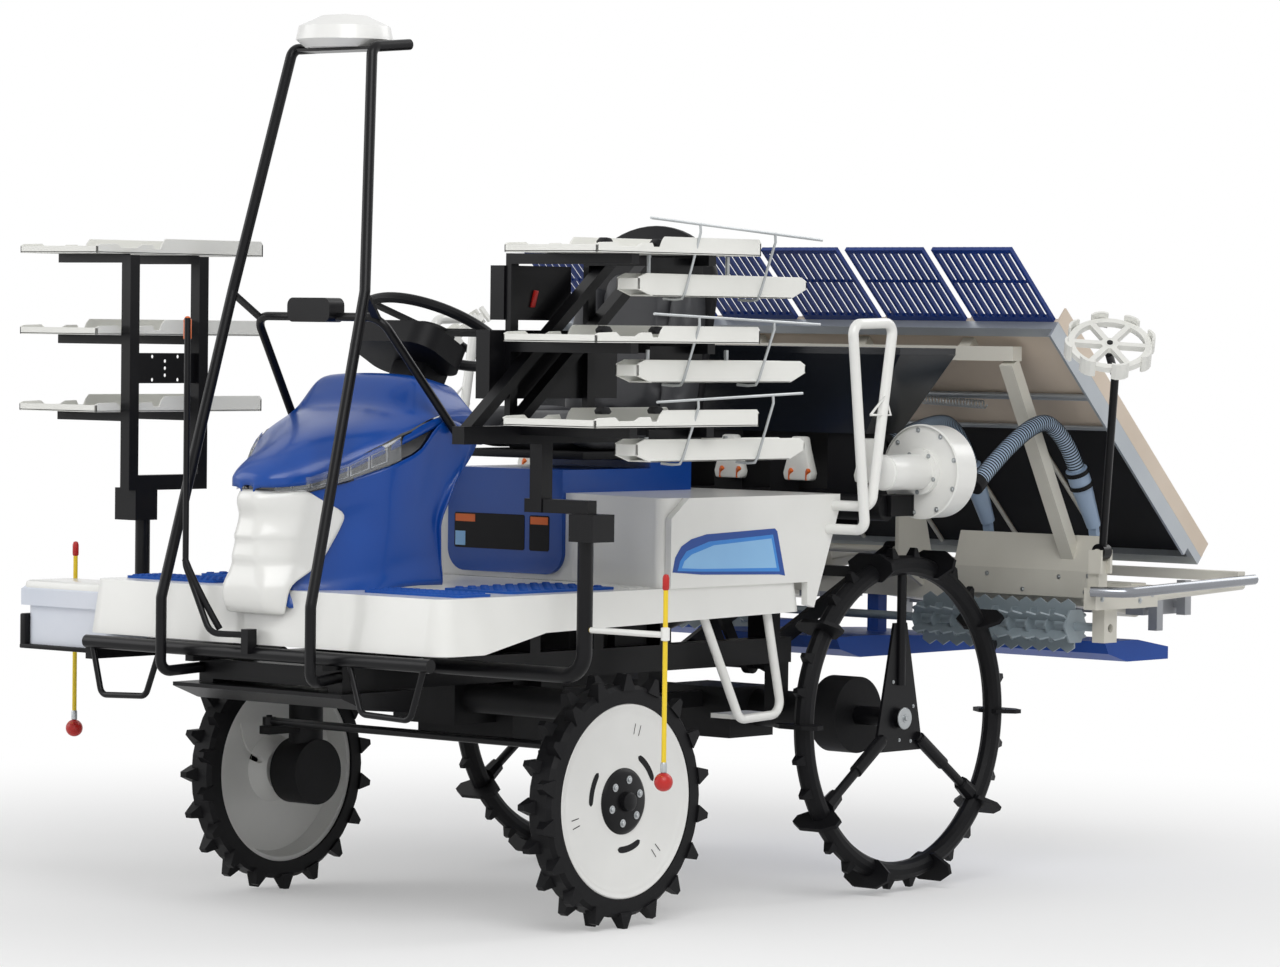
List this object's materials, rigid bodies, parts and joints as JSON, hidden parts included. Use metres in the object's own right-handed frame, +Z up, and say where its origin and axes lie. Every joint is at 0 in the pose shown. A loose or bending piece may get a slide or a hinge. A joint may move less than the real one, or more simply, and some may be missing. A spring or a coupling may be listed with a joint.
{
  "type": "rice transplanter",
  "caption": "Riding rice transplanter: narrow lugged wheels, seedling racks at the front, raised planting unit with a sloped stage, folding markers and a hopper.",
  "frame": {"origin": "on the ground, at the centre of the machine's plan box", "axes": "+X to the machine's left, +Y to its rear, +Z up"},
  "size_m": [2.6252, 3.12, 2.322],
  "materials": {
    "frame_black": "satin",
    "drive_cast": "satin",
    "body_white": "gloss",
    "body_blue": "gloss",
    "mat_blue": "matte",
    "visor_black": "gloss",
    "seat_black": "satin",
    "trim_black": "matte",
    "dome_white": "gloss",
    "tray_white": "satin",
    "tank_white": "satin",
    "hopper_dark": "satin",
    "tyre": "matte",
    "wheel_white": "satin",
    "spider_black": "satin",
    "stage_cream": "satin",
    "stage_silver": "satin",
    "rack_blue": "satin",
    "arm_grey": "satin",
    "level_grey": "satin",
    "frame_cream": "satin",
    "float_blue": "satin",
    "pole_yellow": "gloss",
    "star_white": "satin",
    "rod_chrome": "polished",
    "hose_grey": "satin"
  },
  "bodies": {
    "chassis": {"main_frame": "frame_black", "engine": "drive_cast", "front_axle": "drive_cast", "rear_axle": "drive_cast", "bumper": "frame_black", "skid_guard": "frame_black", "floor": "body_white", "floor_pads": "mat_blue", "rear_cowl": "body_white", "side_panels": "body_white", "engine_cover": "body_blue", "seat_cushion": "seat_black", "seat_back": "seat_black", "bonnet": "body_blue", "grille": "body_white", "visor": "visor_black", "dash": "trim_black", "antenna_frame": "frame_black", "antenna_dome": "dome_white", "seedling_trays": "tray_white", "rack_left": "frame_black", "rack_right": "frame_black", "handrails": "body_white", "side_steps": "body_white", "hopper": "hopper_dark", "metering_units": "trim_black", "air_duct": "trim_black", "blower": "body_white", "front_tank": "tank_white", "guide_poles": "pole_yellow"},
    "steering": {"steering_wheel": "trim_black"},
    "hopper_lid": {"hopper_lid": "hopper_dark"},
    "knuckle_left": {"knuckle_left": "drive_cast"},
    "knuckle_right": {"knuckle_right": "drive_cast"},
    "tie_rod": {"tie_rod": "frame_black"},
    "front_wheel_left": {"front_wheel_left": "wheel_white", "front_tyre_left": "tyre"},
    "front_wheel_right": {"front_wheel_right": "wheel_white", "front_tyre_right": "tyre"},
    "rear_wheel_left": {"rear_ring_left": "tyre", "rear_spider_left": "spider_black"},
    "rear_wheel_right": {"rear_ring_right": "tyre", "rear_spider_right": "spider_black"},
    "lower_link": {"lower_link": "frame_black"},
    "upper_link": {"upper_link": "frame_black"},
    "lift_barrel": {"lift_barrel": "frame_black"},
    "lift_rod": {"lift_rod": "rod_chrome"},
    "planting_unit": {"planting_frame": "frame_cream", "floats": "float_blue", "funnels": "frame_cream", "feed_hoses": "hose_grey"},
    "stage": {"seedling_stage": "stage_cream", "stage_frame": "stage_silver", "stage_racks": "rack_blue"},
    "leveller": {"leveller": "level_grey"},
    "planting_rotors": {"planting_rotors": "arm_grey"},
    "marker_left": {"marker_arm_left": "frame_black"},
    "marker_right": {"marker_arm_right": "frame_black"},
    "star_left": {"star_wheel_left": "star_white"},
    "star_right": {"star_wheel_right": "star_white"}
  },
  "joints": [
    {"name": "steering_wheel", "type": "hinge", "parent": "chassis", "child": "steering", "pos_m": [0, -0.825, 1.511], "axis": [0, 0.4695, 0.8829], "range_deg": [-360, 360]},
    {"name": "steer_left", "type": "hinge", "parent": "chassis", "child": "knuckle_left", "pos_m": [0.5, -0.78, 0.43], "axis": [0, 0, 1], "range_deg": [-38.1, 38.1]},
    {"name": "steer_right", "type": "hinge", "parent": "chassis", "child": "knuckle_right", "pos_m": [-0.5, -0.78, 0.43], "axis": [0, 0, 1], "range_deg": [-38.1, 38.1]},
    {"name": "tie_rod_end", "type": "hinge", "parent": "knuckle_left", "child": "tie_rod", "pos_m": [0.5, -0.92, 0.467], "axis": [0, 0, 1], "range_deg": [-38.1, 38.1]},
    {"name": "front_left_spin", "type": "hinge", "parent": "knuckle_left", "child": "front_wheel_left", "pos_m": [0.606, -0.78, 0.325], "axis": [1, 0, 0], "continuous": true},
    {"name": "front_right_spin", "type": "hinge", "parent": "knuckle_right", "child": "front_wheel_right", "pos_m": [-0.606, -0.78, 0.325], "axis": [1, 0, 0], "continuous": true},
    {"name": "rear_left_spin", "type": "hinge", "parent": "chassis", "child": "rear_wheel_left", "pos_m": [0.615, 0.39, 0.475], "axis": [1, 0, 0], "continuous": true},
    {"name": "rear_right_spin", "type": "hinge", "parent": "chassis", "child": "rear_wheel_right", "pos_m": [-0.615, 0.39, 0.475], "axis": [1, 0, 0], "continuous": true},
    {"name": "hopper_lid", "type": "hinge", "parent": "chassis", "child": "hopper_lid", "pos_m": [0, 0.205, 1.4653], "axis": [1, 0, 0], "range_deg": [0, 100]},
    {"name": "lift", "type": "hinge", "parent": "chassis", "child": "lower_link", "pos_m": [0, 0.32, 0.6], "axis": [-1, 0, 0], "range_deg": [0, 50.75]},
    {"name": "upper_arms", "type": "hinge", "parent": "chassis", "child": "upper_link", "pos_m": [0, 0.32, 0.82], "axis": [-1, 0, 0], "range_deg": [0, 50.75]},
    {"name": "hitch", "type": "hinge", "parent": "lower_link", "child": "planting_unit", "pos_m": [0, 0.95246, 0.9], "axis": [-1, 0, 0], "range_deg": [-50.75, 0]},
    {"name": "barrel_swing", "type": "hinge", "parent": "chassis", "child": "lift_barrel", "pos_m": [0, 0.04, 0.705], "axis": [-1, 0, 0], "range_deg": [0, 11.6]},
    {"name": "rod_slide", "type": "slide", "parent": "lift_barrel", "child": "lift_rod", "axis": [0, 0.9729, 0.2313], "range_m": [0, 0.129]},
    {"name": "stage_travel", "type": "slide", "parent": "planting_unit", "child": "stage", "axis": [1, 0, 0], "range_m": [-0.13, 0.13]},
    {"name": "leveller_spin", "type": "hinge", "parent": "planting_unit", "child": "leveller", "pos_m": [0, 0.91, 0.716], "axis": [1, 0, 0], "continuous": true},
    {"name": "planting_spin", "type": "hinge", "parent": "planting_unit", "child": "planting_rotors", "pos_m": [0, 1.47, 0.752], "axis": [1, 0, 0], "continuous": true},
    {"name": "marker_left_fold", "type": "hinge", "parent": "planting_unit", "child": "marker_left", "pos_m": [0.955, 0.845, 0.93], "axis": [0, 1, 0], "range_deg": [0, 85]},
    {"name": "marker_right_fold", "type": "hinge", "parent": "planting_unit", "child": "marker_right", "pos_m": [-0.955, 0.845, 0.93], "axis": [0, -1, 0], "range_deg": [0, 85]},
    {"name": "star_left_spin", "type": "hinge", "parent": "marker_left", "child": "star_left", "pos_m": [1.19, 0.532, 1.497], "axis": [0.3896, -0.4396, 0.8093], "continuous": true},
    {"name": "star_right_spin", "type": "hinge", "parent": "marker_right", "child": "star_right", "pos_m": [-1.19, 0.532, 1.497], "axis": [-0.3896, -0.4396, 0.8093], "continuous": true}
  ],
  "couplings": [
    {"joint": "steer_left", "follows": "steering_wheel", "ratio": 0.10556},
    {"joint": "steer_right", "follows": "steering_wheel", "ratio": 0.10556},
    {"joint": "tie_rod_end", "follows": "steering_wheel", "ratio": -0.10556},
    {"joint": "upper_arms", "follows": "lift", "ratio": 1},
    {"joint": "hitch", "follows": "lift", "ratio": -1},
    {"joint": "barrel_swing", "follows": "lift", "ratio": 0.227},
    {"joint": "rod_slide", "follows": "lift", "m_per_rad": 0.14496}
  ]
}
